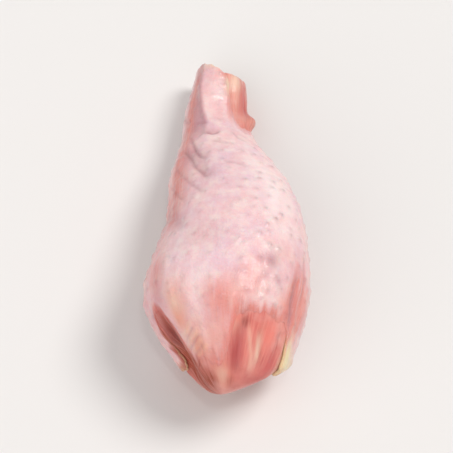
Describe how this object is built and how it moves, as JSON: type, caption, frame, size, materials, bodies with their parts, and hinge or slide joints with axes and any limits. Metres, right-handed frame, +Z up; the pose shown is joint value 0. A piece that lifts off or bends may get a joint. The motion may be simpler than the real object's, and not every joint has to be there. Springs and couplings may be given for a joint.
{
  "type": "raw chicken drumette",
  "caption": "Raw chicken drumette: a pear-shaped joint of wing with pale goose-bumped skin, bare red meat at the shoulder end and cartilage at the elbow.",
  "frame": {"origin": "on the surface it lies on, under the middle of its bounding box", "axes": "+Z up; +Y along the bone towards the elbow end, -Y towards the meaty shoulder end; +X to the right seen from the shoulder end"},
  "size_m": [0.0409, 0.0931, 0.035],
  "materials": {
    "skin": "moist raw skin, pale pink with follicle bumps",
    "meat": "moist raw muscle with fine lengthwise fibres",
    "cartilage": "smooth wet cartilage"
  },
  "bodies": {
    "root": {"skin": "skin", "meat": "meat", "bone": "cartilage"}
  },
  "joints": []
}
